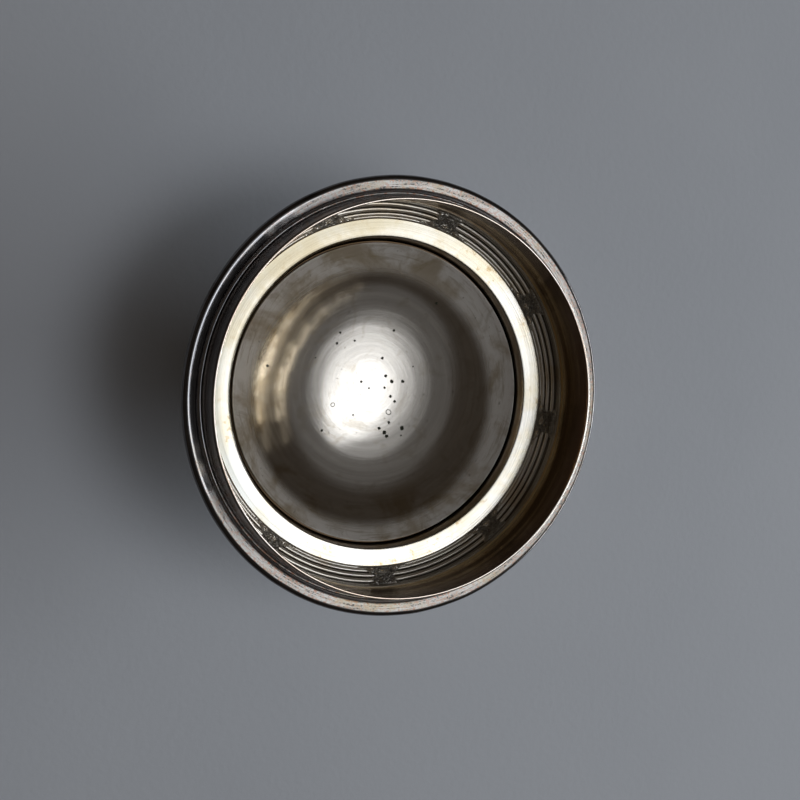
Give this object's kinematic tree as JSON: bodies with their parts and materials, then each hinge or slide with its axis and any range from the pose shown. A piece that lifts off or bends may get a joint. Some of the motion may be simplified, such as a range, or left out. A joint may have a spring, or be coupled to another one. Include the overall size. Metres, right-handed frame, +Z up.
{
  "type": "dappen dish",
  "caption": "Small round silver-plated dappen dish with an upstanding collar, reed-and-tie border in the throat, flat ledge, lift-out spun well and a spreading foot.",
  "frame": {"origin": "on the table, at the middle of the foot", "axes": "+Z up, along the axis of the dish, out of its mouth"},
  "size_m": [0.0542, 0.0542, 0.024],
  "materials": {
    "tarnished_plate": "dark tarnished silver plate, spun",
    "worn_plate": "silver plate worn through to copper along the edge",
    "collar_plate": "brown toned silver plate, drawn, smooth",
    "border_plate": "warm silver plate with dark tarnish in the grooves",
    "tie_plate": "chased silver plate, dark in the recesses",
    "bright_plate": "bright polished silver plate, slightly satin",
    "spun_plate": "spun silver plate with fine ring marks, pits and tarnish spots"
  },
  "bodies": {
    "dish": {"body_shell": "tarnished_plate", "shoulder_band": "worn_plate", "seam_wire": "worn_plate", "collar": "collar_plate", "border_strip": "border_plate", "reed_wire_1": "border_plate", "reed_wire_2": "border_plate", "reed_wire_3": "border_plate", "reed_wire_4": "border_plate", "border_tie_1": "tie_plate", "border_tie_2": "tie_plate", "border_tie_3": "tie_plate", "border_tie_4": "tie_plate", "border_tie_5": "tie_plate", "border_tie_6": "tie_plate", "border_tie_7": "tie_plate", "border_tie_8": "tie_plate", "border_tie_9": "tie_plate", "ledge_ring": "bright_plate", "foot": "tarnished_plate", "foot_wire": "worn_plate"},
    "well": {"well_liner": "spun_plate"}
  },
  "joints": [
    {"name": "well_lift", "type": "slide", "parent": "dish", "child": "well", "axis": [0, 0, 1], "range_m": [0, 0.03]}
  ]
}
